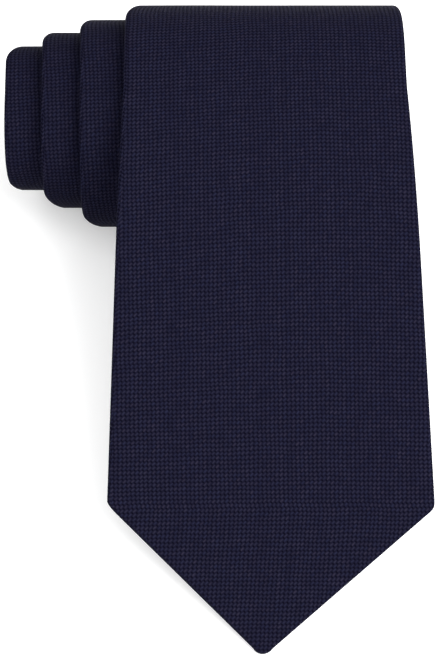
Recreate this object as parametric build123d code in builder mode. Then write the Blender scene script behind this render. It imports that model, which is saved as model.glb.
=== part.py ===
from build123d import *
import math
import os

os.makedirs("parts", exist_ok=True)

# A necktie put up for display: folded in half, rolled up from the fold, the turns drawn out
# to the left like a telescope, and the wide blade brought over the top and down to the table.
# X runs across the blade, Y along the table from the blade's point to the roll, Z is up.
# The origin is at the middle of the floor under the whole tie.

# ---- the cloth ----
layer_thickness = 1.8       # one thickness of made-up tie: shell, interlining, shell
cloth_thickness = 0.45      # the silk shell alone
layer_gap = 0.3             # between one thickness of tie and the next
hem_inset = 1.2             # the interlining stops this far inside each folded edge

# ---- the roll, seen along X ----
roll_centre_y = 53.7
roll_half_height = 27.3     # half the outer turn's height
roll_flat_half = 5.4        # each turn's top is flat this far either side of the middle

# ---- where each turn lies across X: the wide side's width and its left-hand edge ----
turn_width = [73.4, 62.6, 52.0, 43.3, 36.8, 35.0]
turn_left = [-23.7, -35.6, -45.5, -55.0, -53.5, -52.8]
tail_width = 34.0           # of the narrow side, all the way round the roll
neck_seam = 7               # the stretch at which the neck piece takes over from the others

# ---- the front blade, from the roll's crest to its point ----
blade_slope = 25.0          # degrees down to the table
blade_bend_radius = 119.5   # of the outer face, where it comes off the crest
blade_axis = 13.0
blade_half_crest = 37.4
blade_left_corner = (-27.5, -51.0)
blade_right_corner = (55.0, -50.6)
blade_point_x = 11.8
corner_radius = 2.3
point_radius = 3.0
point_half_angle = 48.4     # degrees between the blade's middle line and its slanting edges

# ---- the tail's end, held behind the blade; distances are from the crest ----
tail_corner_distance = 64.0
tail_point_distance = 82.0
tail_half_corner = 19.0

# ---- small pieces on the blade's back ----
tipping_start = 88.0
tipping_inset = 5.0         # a tipping's edge lies this far inside the blade's edge
tipping_thickness = 0.2
tail_tipping_start = 51.0
tail_tipping_inset = 3.0
tail_tipping_thickness = 0.12
keeper_start = 19.0
keeper_width = 11.0
keeper_half_span = 22.0
keeper_leg = 2.0
keeper_thickness = 0.6
keeper_tack = 1.5
maker_label_start = 32.0
maker_label_width = 17.0
flat_piece_thickness = 0.12  # a label or a row of stitches, pressed into the blade's back
care_label_x = (39.2, 49.0)
care_label_start = 20.0
care_label_length = 26.0
care_label_thickness = 0.3
tack_half_length = 3.5
tack_width = 1.8
blade_tack_start = 85.0
blade_tack_thickness = 0.5
tail_tack_start = 48.5
stitch_width = 0.6

layer_pitch = layer_thickness + layer_gap
turn_pitch = 2 * layer_pitch
core_depth = cloth_thickness
core_thickness = layer_thickness - 2 * cloth_thickness
roll_centre_z = roll_half_height
crest_y = roll_centre_y
crest_z = roll_centre_z + roll_half_height
last_stretch = 2 * (len(turn_width) - 1)
slope = math.radians(blade_slope)
bend_centre = (crest_y, crest_z - blade_bend_radius)
bend_length = blade_bend_radius * slope
bend_drop = blade_bend_radius * (1 - math.cos(slope))
straight_drop = crest_z - bend_drop - layer_thickness * math.cos(slope)
blade_length = bend_length + straight_drop / math.sin(slope)
point_overhang = point_radius * (1 / math.sin(math.radians(point_half_angle)) - 1)


def turn_radius(turn, depth):
    """Radius of a turn's rounded back and front, so far inside its outer face."""
    return roll_half_height - turn * turn_pitch - depth


def band(back_y, front_y, radius, thickness, limits, above):
    """A stretch of tie round half a turn: two quarter rounds with a flat between them."""
    back_centre = (back_y - radius, roll_centre_z)
    front_centre = (front_y + radius, roll_centre_z)
    first_back = 0 if above else 270
    first_front = 90 if above else 180
    with BuildPart() as piece:
        with BuildSketch(Plane.YZ.offset(limits[0])):
            with BuildLine():
                ends = []
                for size in (radius, radius - thickness):
                    back = CenterArc(back_centre, size, first_back, 90)
                    front = CenterArc(front_centre, size, first_front, 90)
                    if above:
                        Line(back @ 1, front @ 0)
                        ends.append((back @ 0, front @ 1))
                    else:
                        Line(back @ 0, front @ 1)
                        ends.append((back @ 1, front @ 0))
                for outer, inner in zip(*ends):
                    Line(outer, inner)
            make_face()
        extrude(amount=limits[1] - limits[0])
    return piece.part


def over_turn(turn, depth, thickness, limits):
    """A stretch of tie over the top of a turn."""
    radius = turn_radius(turn, depth)
    half = radius + roll_flat_half
    return band(roll_centre_y + half, roll_centre_y - half, radius, thickness, limits, True)


def under_turn(turn, depth, thickness, limits):
    """A stretch of tie under the roll, from the back of one turn to the front of the next."""
    radius = turn_radius(turn, depth)
    back = roll_centre_y + radius + roll_flat_half
    front = roll_centre_y - turn_radius(turn + 1, depth) - roll_flat_half
    return band(back, front, radius, thickness, limits, False)


def over_back(depth, thickness, limits):
    """The outer turn from the back of the roll up to its crest, where the front blade begins."""
    with BuildPart() as piece:
        add(over_turn(0, depth, thickness, limits))
        with BuildSketch(Plane.XY.offset(roll_centre_z)):
            with BuildLine():
                front = crest_y - 2 * roll_half_height
                Polyline((limits[0], crest_y), (limits[1], crest_y), (limits[1], front),
                         (limits[0], front), close=True)
            make_face()
        extrude(amount=crest_z, mode=Mode.SUBTRACT)
    return piece.part


def stretch_limits(stretch, inset, width):
    """Left and right ends of a stretch; under the roll it lies between two turns."""
    turn = stretch // 2
    left = turn_left[turn]
    full = turn_width[turn]
    if stretch % 2 == 1:
        left = (left + turn_left[turn + 1]) / 2
        full = (full + turn_width[turn + 1]) / 2
    centre = left + full / 2
    half = (full if width is None else width) / 2 - inset
    return centre - half, centre + half


def rolled_strip(first, last, depth, thickness, inset=0.0, width=None):
    """Tie wound round the roll: even stretches go over a turn, odd ones go under it."""
    with BuildPart() as strip:
        for stretch in range(first, last + 1):
            limits = stretch_limits(stretch, inset, width)
            if stretch == 0:
                add(over_back(depth, thickness, limits))
            elif stretch % 2 == 0:
                add(over_turn(stretch // 2, depth, thickness, limits))
            else:
                add(under_turn(stretch // 2, depth, thickness, limits))
    return strip.part


def blade_place(distance, depth):
    """A point of the front blade's side view, so far from the crest and below its face."""
    angle = min(distance, bend_length) / blade_bend_radius
    radius = blade_bend_radius - depth
    run = max(0.0, distance - bend_length)
    y = bend_centre[0] - radius * math.sin(angle) - run * math.cos(angle)
    z = bend_centre[1] + radius * math.cos(angle) - run * math.sin(angle)
    return y, z


def blade_slab(start, end, depth, thickness, x_left, x_right):
    """A slab that follows the front blade between two distances from the crest."""
    with BuildPart() as piece:
        with BuildSketch(Plane.YZ.offset(x_left)):
            with BuildLine():
                for level in (depth, depth + thickness):
                    if start < bend_length:
                        first = math.degrees(start / blade_bend_radius)
                        swept = math.degrees(min(end, bend_length) / blade_bend_radius) - first
                        CenterArc(bend_centre, blade_bend_radius - level, 90 + first, swept)
                    if end > bend_length:
                        Line(blade_place(max(start, bend_length), level),
                             blade_place(end, level))
                for place in (start, end):
                    Line(blade_place(place, depth), blade_place(place, depth + thickness))
            make_face()
        extrude(amount=x_right - x_left)
    return piece.part


def plan_block(corners, rounding, inset):
    """A tall block whose plan is a blade's outline, drawn in all round by an inset."""
    with BuildPart() as block:
        with BuildSketch() as plan:
            with BuildLine():
                Polyline(*corners, close=True)
            make_face()
            if inset > 0:
                offset(amount=-inset, kind=Kind.INTERSECTION, mode=Mode.REPLACE)
            by_y = plan.vertices().sort_by(Axis.Y)
            for vertex, radius in zip(by_y[:3], rounding):
                fillet(vertex, radius=radius)
        extrude(amount=2 * crest_z)
    return block.part


def blade_plan(inset=0.0):
    """The front blade's outline from above, from beyond the crest to its point."""
    corners = [
        (blade_axis - blade_half_crest, crest_y + tipping_inset),
        blade_left_corner,
        (blade_point_x, blade_place(blade_length, 0.0)[0] - point_overhang),
        blade_right_corner,
        (blade_axis + blade_half_crest, crest_y + tipping_inset),
    ]
    return plan_block(corners, (point_radius, corner_radius, corner_radius), inset)


def tail_plan(inset=0.0):
    """The tail end's outline from above, from beyond the crest to its point."""
    corner_y = blade_place(tail_corner_distance, layer_pitch)[0]
    corners = [
        (blade_axis - tail_width / 2, crest_y + tipping_inset),
        (blade_axis - tail_half_corner, corner_y),
        (blade_axis, blade_place(tail_point_distance, layer_pitch)[0]),
        (blade_axis + tail_half_corner, corner_y),
        (blade_axis + tail_width / 2, crest_y + tipping_inset),
    ]
    return plan_block(corners, (corner_radius, corner_radius, corner_radius), inset)


def finish(piece, name):
    """Name a finished piece and write it out."""
    piece.part.label = name
    export_step(piece.part, f"parts/{name}.step")


blade_span = (blade_left_corner[0], blade_right_corner[0])
tail_span = (blade_axis - tail_half_corner, blade_axis + tail_half_corner)
label_span = (blade_axis - keeper_half_span, blade_axis + keeper_half_span)
tack_span = (blade_axis - tack_half_length, blade_axis + tack_half_length)
tail_back = layer_pitch
tail_face = layer_pitch + layer_thickness
keeper_depth = tail_face + flat_piece_thickness
keeper_end = keeper_start + keeper_width

# ---- the wide side's rolled stretch, with its interlining ----
with BuildPart() as blade_shell_roll:
    add(rolled_strip(0, neck_seam - 1, 0.0, layer_thickness))
    add(rolled_strip(0, neck_seam - 1, core_depth, core_thickness, hem_inset),
        mode=Mode.SUBTRACT)
finish(blade_shell_roll, "blade_shell_roll")

with BuildPart() as blade_interlining_roll:
    add(rolled_strip(0, last_stretch, core_depth, core_thickness, hem_inset))
finish(blade_interlining_roll, "blade_interlining_roll")

# ---- the narrow side's rolled stretch, inside the wide side's turns ----
with BuildPart() as tail_shell_roll:
    add(rolled_strip(0, neck_seam - 1, tail_back, layer_thickness, width=tail_width))
    add(rolled_strip(0, neck_seam - 1, tail_back + core_depth, core_thickness, hem_inset,
                     tail_width), mode=Mode.SUBTRACT)
finish(tail_shell_roll, "tail_shell_roll")

with BuildPart() as tail_interlining_roll:
    add(rolled_strip(0, last_stretch, tail_back + core_depth, core_thickness, hem_inset,
                     tail_width))
finish(tail_interlining_roll, "tail_interlining_roll")

# ---- the neck piece: in to the core on one side, folded, and back out on the other ----
fold_limits = stretch_limits(last_stretch, 0.0, tail_width)
fold_back = roll_centre_y + turn_radius(last_stretch // 2, 0.0) + roll_flat_half
fold_front = fold_back - tail_face

with BuildPart() as neck_shell:
    add(rolled_strip(neck_seam, last_stretch, 0.0, layer_thickness))
    add(rolled_strip(neck_seam, last_stretch, tail_back, layer_thickness, width=tail_width))
    with BuildSketch(Plane.YZ.offset(fold_limits[0])):
        with BuildLine():
            Polyline((fold_front, roll_centre_z), (fold_back, roll_centre_z),
                     (fold_back, roll_centre_z - layer_thickness),
                     (fold_front, roll_centre_z - layer_thickness), close=True)
        make_face()
    extrude(amount=fold_limits[1] - fold_limits[0])
    add(rolled_strip(neck_seam, last_stretch, core_depth, core_thickness, hem_inset),
        mode=Mode.SUBTRACT)
    add(rolled_strip(neck_seam, last_stretch, tail_back + core_depth, core_thickness,
                     hem_inset, tail_width), mode=Mode.SUBTRACT)
finish(neck_shell, "neck_shell")

# ---- the front blade, which lifts about the crest ----
with BuildPart() as blade_interlining_front:
    add(blade_slab(layer_gap, blade_length, core_depth, core_thickness, *blade_span))
    add(blade_plan(hem_inset), mode=Mode.INTERSECT)
finish(blade_interlining_front, "blade_interlining_front")

with BuildPart() as blade_shell_front:
    add(blade_slab(layer_gap, blade_length, 0.0, layer_thickness, *blade_span))
    add(blade_plan(), mode=Mode.INTERSECT)
    add(blade_interlining_front.part, mode=Mode.SUBTRACT)
finish(blade_shell_front, "blade_shell_front")

with BuildPart() as blade_tipping:
    add(blade_slab(tipping_start, blade_length, layer_thickness, tipping_thickness,
                   *blade_span))
    add(blade_plan(tipping_inset), mode=Mode.INTERSECT)
finish(blade_tipping, "blade_tipping")

with BuildPart() as blade_bar_tack:
    add(blade_slab(blade_tack_start, blade_tack_start + tack_width, layer_thickness,
                   blade_tack_thickness, *tack_span))
finish(blade_bar_tack, "blade_bar_tack")

with BuildPart() as slip_stitch:
    add(blade_slab(maker_label_start + maker_label_width, blade_tack_start, layer_thickness,
                   flat_piece_thickness, blade_axis - stitch_width / 2,
                   blade_axis + stitch_width / 2))
finish(slip_stitch, "slip_stitch")

with BuildPart() as maker_label:
    add(blade_slab(maker_label_start, maker_label_start + maker_label_width,
                   layer_thickness, flat_piece_thickness, *label_span))
finish(maker_label, "maker_label")

# ---- the keeper, a loop of the same silk that holds the tail ----
with BuildPart() as keeper_loop:
    add(blade_slab(keeper_start, keeper_end, keeper_depth, keeper_thickness, *label_span))
    for side in (-1, 1):
        outer = blade_axis + side * keeper_half_span
        inner = outer - side * keeper_leg
        add(blade_slab(keeper_start, keeper_end, layer_thickness,
                       keeper_depth + keeper_thickness - layer_thickness,
                       min(outer, inner), max(outer, inner)))
finish(keeper_loop, "keeper_loop")

with BuildPart() as keeper_stitches:
    for side in (-1, 1):
        outer = blade_axis + side * (keeper_half_span + keeper_tack)
        inner = blade_axis + side * keeper_half_span
        add(blade_slab(keeper_start, keeper_end, layer_thickness, layer_gap,
                       min(outer, inner), max(outer, inner)))
finish(keeper_stitches, "keeper_stitches")

# ---- the tail's end, which hangs in the keeper and lifts with the blade ----
with BuildPart() as tail_interlining_end:
    add(blade_slab(layer_gap, tail_point_distance, tail_back + core_depth, core_thickness,
                   *tail_span))
    add(tail_plan(hem_inset), mode=Mode.INTERSECT)
finish(tail_interlining_end, "tail_interlining_end")

with BuildPart() as tail_shell_end:
    add(blade_slab(layer_gap, tail_point_distance, tail_back, layer_thickness, *tail_span))
    add(tail_plan(), mode=Mode.INTERSECT)
    add(tail_interlining_end.part, mode=Mode.SUBTRACT)
finish(tail_shell_end, "tail_shell_end")

with BuildPart() as tail_tipping:
    add(blade_slab(tail_tipping_start, tail_point_distance,
                   tail_back - tail_tipping_thickness, tail_tipping_thickness, *tail_span))
    add(tail_plan(tail_tipping_inset), mode=Mode.INTERSECT)
finish(tail_tipping, "tail_tipping")

with BuildPart() as tail_bar_tack:
    add(blade_slab(tail_tack_start, tail_tack_start + tack_width,
                   tail_back - tail_tipping_thickness, tail_tipping_thickness, *tack_span))
finish(tail_bar_tack, "tail_bar_tack")

# ---- the care label, sewn along its top edge and free to swing down ----
with BuildPart() as care_label:
    add(blade_slab(care_label_start, care_label_start + care_label_length, layer_pitch,
                   care_label_thickness, *care_label_x))
finish(care_label, "care_label")

care_hinge = blade_place(care_label_start, layer_pitch)
print("blade lift axis at y, z:", crest_y, crest_z)
print("care label axis at y, z:", *(round(value, 3) for value in care_hinge))
print("front blade length:", round(blade_length, 2))
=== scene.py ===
"""A silk necktie rolled for display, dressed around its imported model.

The wide blade comes over the roll and down to the table; the turns of the roll are drawn out
to the left. Sizes in the classes are millimetres, and meshes are written in metres.
"""

import logging
import math
from bisect import bisect_right
from dataclasses import dataclass, field
from enum import Enum
from typing import Callable, Sequence

import bmesh
import bpy
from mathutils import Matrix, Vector, noise


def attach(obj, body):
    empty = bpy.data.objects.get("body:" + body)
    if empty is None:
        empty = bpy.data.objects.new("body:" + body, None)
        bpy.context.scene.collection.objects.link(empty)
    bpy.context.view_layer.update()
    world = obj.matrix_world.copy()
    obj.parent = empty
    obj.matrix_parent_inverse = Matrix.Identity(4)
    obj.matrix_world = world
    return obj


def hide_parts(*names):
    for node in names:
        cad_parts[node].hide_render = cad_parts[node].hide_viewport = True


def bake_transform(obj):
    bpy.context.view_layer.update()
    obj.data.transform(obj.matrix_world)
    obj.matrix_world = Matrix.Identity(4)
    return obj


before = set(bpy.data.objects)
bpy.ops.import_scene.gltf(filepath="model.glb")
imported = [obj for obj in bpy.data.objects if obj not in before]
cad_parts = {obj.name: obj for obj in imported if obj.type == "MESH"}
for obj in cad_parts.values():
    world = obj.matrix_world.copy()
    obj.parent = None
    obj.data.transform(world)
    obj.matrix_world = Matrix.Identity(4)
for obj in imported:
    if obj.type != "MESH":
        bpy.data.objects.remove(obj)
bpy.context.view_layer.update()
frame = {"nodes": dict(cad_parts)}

LOG = logging.getLogger("necktie")
MM = 0.001
DIAGONAL = 0.7071
LEAST_HALF = 0.25
TIP_REACH = 0.85
TIP_ROWS = (0.0, 0.08, 0.22, 0.45, 0.8, 1.3, 2.0, 3.0, 4.2)
Pair = tuple[float, float]
Triple = tuple[float, float, float]
Colour = tuple[float, float, float]
Place = Callable[[float, float, float], Vector]


class Body(Enum):
    """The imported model's moving bodies."""

    ROLL = "roll"
    FRONT = "front_blade"
    CARE = "care_tab"


class Slot(Enum):
    """The record's material slots."""

    SILK = "navy_silk"
    WOOL = "interlining_wool"
    TIPPING = "tipping_silk"
    THREAD = "sewing_thread"
    LABEL = "label_satin"


# ------------------------------------------------------------------------------ small sums
def ease(low: float, high: float, value: float) -> float:
    """A smooth rise from 0 at low to 1 at high."""
    share = min(max((value - low) / (high - low), 0.0), 1.0)
    return share * share * (3.0 - 2.0 * share)


def spread(first: float, last: float, step: float) -> list[float]:
    """Even places from first to last, about a step apart, both ends included."""
    count = max(1, round(abs(last - first) / step))
    return [first + (last - first) * i / count for i in range(count + 1)]


def point_half(out: float, edge: float, side: float, blend: float, tip: float) -> float:
    """Half the width of a pointed end, with its tip and its corners rounded.

    Args:
        out: Millimetres from the very tip.
        edge: Half the width between the point's two straight edges.
        side: Half the width between the long edges.
        blend: How close the two have to be for a corner to be rounded.
        tip: The tip's radius.

    Returns:
        Half the width in millimetres.
    """
    if out < TIP_REACH:
        edge = math.sqrt(max(0.0, tip ** 2 - (tip - out) ** 2))
    near = max(blend - abs(edge - side), 0.0) / blend
    return max(LEAST_HALF, min(edge, side) - near * near * blend / 4.0)


# ------------------------------------------------------------------------- the tie's own line
@dataclass
class RollPath:
    """The line of the tie's outer face, seen along X.

    Distances run along the face from the blade's point: up the front, over the crest, down the
    back and round the roll to its core. Each turn lies one turn pitch inside the last.
    """

    centre_y: float = 53.7
    half_height: float = 27.3
    flat_half: float = 5.4
    turn_pitch: float = 4.2
    bend_radius: float = 119.5
    slope: float = math.radians(25.0)
    blade_length: float = 150.98
    turns: int = 6
    step: float = 0.6
    smoothing: int = 36
    push: tuple[float, ...] = (0.35, 0.90, 0.60, 0.0, 0.0)
    push_way: Pair = (0.906, 0.423)
    push_ease: float = 8.0
    points: list[Pair] = field(default_factory=list)
    reach: list[float] = field(default_factory=list)
    marks: list[float] = field(default_factory=list)

    def __post_init__(self) -> None:
        """Lay the line out, soften its joins and measure it."""
        corners = self.front() + self.roll()
        for _ in range(self.smoothing):
            corners = [corners[0]] + [
                ((a[0] + 2.0 * b[0] + c[0]) / 4.0, (a[1] + 2.0 * b[1] + c[1]) / 4.0)
                for a, b, c in zip(corners, corners[1:], corners[2:])
            ] + [corners[-1]]
        self.measure(corners)
        marks = self.half_turns()
        pushed = []
        for (y, z), reach in zip(corners, self.reach):
            amount = sum(push * ease(back - self.push_ease, front + self.push_ease, reach)
                         for push, back, front in zip(self.push, marks[0::2], marks[1::2]))
            pushed.append((y + amount * self.push_way[0], z + amount * self.push_way[1]))
        self.measure(pushed)
        self.marks = self.half_turns()

    def measure(self, corners: list[Pair]) -> None:
        """Keep the line's points and their distances from the blade's point.

        Args:
            corners: The line's points (y, z), in order.
        """
        self.points = corners
        self.reach = [0.0]
        for a, b in zip(corners, corners[1:]):
            self.reach.append(self.reach[-1] + math.hypot(b[0] - a[0], b[1] - a[1]))

    def front(self) -> list[Pair]:
        """The run up the front, from the blade's point.

        Returns:
            Points (y, z) up to the crest, without the crest.
        """
        crest_z = 2.0 * self.half_height
        bend_z = crest_z - self.bend_radius
        foot_y = self.centre_y - self.bend_radius * math.sin(self.slope)
        foot_z = bend_z + self.bend_radius * math.cos(self.slope)
        run = self.blade_length - self.bend_radius * self.slope
        places = [
            (foot_y - out * math.cos(self.slope), foot_z - out * math.sin(self.slope))
            for out in spread(run, 0.0, self.step)
        ]
        places += self.arc((self.centre_y, bend_z), self.bend_radius,
                           math.pi / 2.0 + self.slope, math.pi / 2.0)
        return places

    def roll(self) -> list[Pair]:
        """The run over the crest and round the roll.

        Returns:
            Points (y, z) from the crest to the core.
        """
        z = self.half_height
        places: list[Pair] = []
        for turn in range(self.turns):
            radius = self.half_height - turn * self.turn_pitch
            back = self.centre_y + self.flat_half
            front = self.centre_y - self.flat_half
            if turn > 0:
                places += self.arc((front, z), radius, math.pi, math.pi / 2.0)
                places += self.line((front, z + radius), (back, z + radius))
            else:
                places += self.line((self.centre_y, z + radius), (back, z + radius))
            places += self.arc((back, z), radius, math.pi / 2.0, 0.0)
            if turn == self.turns - 1:
                places.append((back + radius, z))
                break
            under = front + self.turn_pitch
            places += self.arc((back, z), radius, 0.0, -math.pi / 2.0)
            places += self.line((back, z - radius), (under, z - radius))
            places += self.arc((under, z), radius, -math.pi / 2.0, -math.pi)
        return places

    def arc(self, centre: Pair, radius: float,
            first: float, last: float) -> list[Pair]:
        """Points on an arc, a step apart.

        Args:
            centre: The arc's centre (y, z).
            radius: Its radius.
            first: The angle it starts at, in radians.
            last: The angle it ends at.

        Returns:
            The points (y, z), without the last one.
        """
        return [
            (centre[0] + radius * math.cos(angle), centre[1] + radius * math.sin(angle))
            for angle in spread(first, last, self.step / radius)[:-1]
        ]

    def line(self, first: Pair,
             last: Pair) -> list[Pair]:
        """Points on a straight run, a step apart.

        Args:
            first: Where it starts.
            last: Where it ends.

        Returns:
            The points (y, z), without the last one.
        """
        count = max(2, round(math.dist(first, last) / self.step))
        return [
            (first[0] + (last[0] - first[0]) * i / count,
             first[1] + (last[1] - first[1]) * i / count)
            for i in range(count)
        ]

    @property
    def length(self) -> float:
        """The whole line's length."""
        return self.reach[-1]

    @property
    def seam(self) -> float:
        """Where blade, neck and tail are joined, as a distance along the line."""
        return self.half_turns()[6]

    def half_turns(self) -> list[float]:
        """Find where the line stands upright.

        Returns:
            Distances along it: back, front, back and so on.
        """
        if self.marks:
            return self.marks
        found = []
        for i in range(1, len(self.points) - 1):
            before = self.points[i][0] - self.points[i - 1][0]
            after = self.points[i + 1][0] - self.points[i][0]
            if before * after < 0.0 and self.reach[i] > self.blade_length:
                found.append(self.reach[i])
        return found

    def at(self, distance: float, depth: float) -> Pair:
        """A point so far along the line and so far inside it.

        Args:
            distance: Millimetres from the blade's point.
            depth: Millimetres from the outer face towards the middle of the roll.

        Returns:
            The point's (y, z).
        """
        distance = min(max(distance, 0.0), self.length)
        i = min(max(bisect_right(self.reach, distance) - 1, 0), len(self.points) - 2)
        share = (distance - self.reach[i]) / (self.reach[i + 1] - self.reach[i])
        a, b = self.points[i], self.points[i + 1]
        before = self.points[max(i - 1, 0)]
        after = self.points[min(i + 2, len(self.points) - 1)]
        t1 = (b[0] - before[0], b[1] - before[1])
        t2 = (after[0] - a[0], after[1] - a[1])
        ty = t1[0] + (t2[0] - t1[0]) * share
        tz = t1[1] + (t2[1] - t1[1]) * share
        size = math.hypot(ty, tz)
        return (a[0] + (b[0] - a[0]) * share + tz / size * depth,
                a[1] + (b[1] - a[1]) * share - ty / size * depth)


@dataclass
class TieCut:
    """The tie's plan: how wide it is, and where its middle line lies across X."""

    path: RollPath
    corner_distance: float = 37.3
    corner_half_width: float = 41.5
    corner_ease: Pair = (1.2, 1.4)
    tip_back: float = 0.9
    taper: float = 0.034
    taper_rise: float = 0.06
    front_taper: float = 0.045
    crest_half_width: float = 36.6
    neck_half_width: float = 17.5
    point_x: float = 11.85
    point_lean: float = 0.069
    corner_x: float = 14.02
    turn_x: tuple[float, ...] = (12.7, -4.55, -20.1, -34.4, -35.9, -36.0)
    lean: float = 0.050
    bow: float = 0.9
    bow_reach: float = 38.0
    drift_before: float = 3.0
    drift_after: float = 9.0
    view_tilt: float = math.radians(25.0)
    round_back: tuple[float, ...] = (4.9, 3.9, 3.4, 4.8, 2.5, 2.0)
    round_front: tuple[float, ...] = (0.0, 1.7, 2.7, 1.2, 1.2, 1.2)
    corner_fade: float = 1.7
    slope_fade: float = 0.3
    right_share: float = 0.25

    def half_width(self, distance: float) -> float:
        """Half the wide side's width, above its corners.

        Args:
            distance: Millimetres from the blade's point.

        Returns:
            Half the width in millimetres.
        """
        out = distance - self.corner_distance
        front = max(self.corner_half_width - self.front_taper * out, self.crest_half_width)
        return max(self.neck_half_width,
                   min(self.corner_half_width + self.taper_rise - self.taper * out, front))

    def middle(self, distance: float) -> float:
        """Where the middle line lies across X.

        Args:
            distance: Millimetres from the blade's point.

        Returns:
            Its X in millimetres.
        """
        crest = self.path.blade_length
        if distance < crest:
            low = self.point_x + self.point_lean * (distance + self.tip_back)
            share = (distance - self.corner_distance) / (crest - self.corner_distance)
            high = self.corner_x + (self.turn_x[0] - self.corner_x) * share
            near = ease(self.corner_distance - self.corner_ease[0],
                        self.corner_distance + self.corner_ease[1], distance)
            return low + (high - low) * near
        uprights = self.path.half_turns()
        x = self.turn_x[0]
        for turn, (back, front) in enumerate(zip(uprights[0::2], uprights[1::2])):
            share = ease(back - self.drift_before, front + self.drift_after, distance)
            seen = front + 0.5 * math.pi * (self.path.half_height
                                            - (turn + 1) * self.path.turn_pitch)
            bump = max(0.0, 1.0 - ((distance - seen) / self.bow_reach) ** 2)
            line = self.turn_x[turn + 1] - self.lean * (distance - seen) + self.bow * bump
            x += (line - x) * share
        return x

    def pull(self, distance: float) -> Pair:
        """How far the left and right edges are drawn in where each turn goes out of sight.

        A corner is round as seen from above the front, and fades out behind the turn's horizon.

        Args:
            distance: Millimetres from the blade's point.

        Returns:
            Millimetres at the left edge and at the right edge.
        """
        pulled = 0.0
        for index, upright in enumerate(self.path.half_turns()):
            turn, at_front = (index + 1) // 2, index % 2 == 1
            radius = self.path.half_height - turn * self.path.turn_pitch
            corner = (self.round_front if at_front else self.round_back)[turn]
            hidden = distance - (upright - self.view_tilt * radius)
            if at_front:
                hidden = -hidden
            if hidden <= 0.0:
                drop = radius * (1.0 - math.cos(min(-hidden / radius, math.pi / 2.0)))
                if drop < corner:
                    pulled += corner - math.sqrt(corner ** 2 - (corner - drop) ** 2)
            else:
                pulled += corner * (1.0 - ease(0.0, self.corner_fade * radius, hidden))
                pulled += (math.sqrt(corner / radius) * hidden
                           * (1.0 - ease(0.0, self.slope_fade * radius, hidden)))
        return pulled, self.right_share * pulled


@dataclass
class Draping:
    """Takes a point of the flat tie to its place on the roll."""

    path: RollPath
    cut: TieCut
    cone: float = 0.0002
    cone_from: float = -21.0
    cone_ease: float = 5.0
    ripple: float = 0.10
    ripple_size: Pair = (26.0, 31.0)
    squeeze: float = 0.20
    squeeze_run: float = 45.0
    cache: dict[float, Triple] = field(default_factory=dict)

    def across(self, distance: float) -> Triple:
        """The tie's middle and edges at a distance, remembered from one call to the next.

        Args:
            distance: Millimetres from the blade's point.

        Returns:
            The middle line's X, the left edge's pull and the right edge's pull.
        """
        key = round(distance, 3)
        if key not in self.cache:
            self.cache[key] = (self.cut.middle(distance), *self.cut.pull(distance))
        return self.cache[key]

    def place(self, x: float, distance: float, depth: float) -> Vector:
        """A point of the cloth in the shared frame.

        Args:
            x: Millimetres to the right of the tie's middle line.
            distance: Millimetres from the blade's point.
            depth: Millimetres inside the outer face.

        Returns:
            The place in metres.
        """
        middle, left, right = self.across(distance)
        crest = self.path.blade_length
        depth *= 1.0 - self.squeeze * ease(crest, crest + self.squeeze_run, distance)
        half = self.cut.half_width(distance)
        edge = min(abs(x) / half, 1.0) ** 3
        world_x = middle + x + (left * edge if x < 0.0 else -right * edge)
        y, z = self.path.at(distance, depth)
        wide, long = self.ripple_size
        lift = self.ripple * noise.noise(Vector((world_x / wide, distance / long, 0.0)))
        y2, z2 = self.path.at(distance, depth - 1.0)
        y, z = y + (y2 - y) * lift, z + (z2 - z) * lift
        if distance > crest and world_x < self.cone_from:
            out = self.cone_from - world_x
            keep = 1.0 - self.cone * out * out / (out + self.cone_ease)
            y = self.path.centre_y + (y - self.path.centre_y) * keep
            z = self.path.half_height + (z - self.path.half_height) * keep
        return Vector((world_x, y, z)) * MM


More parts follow.
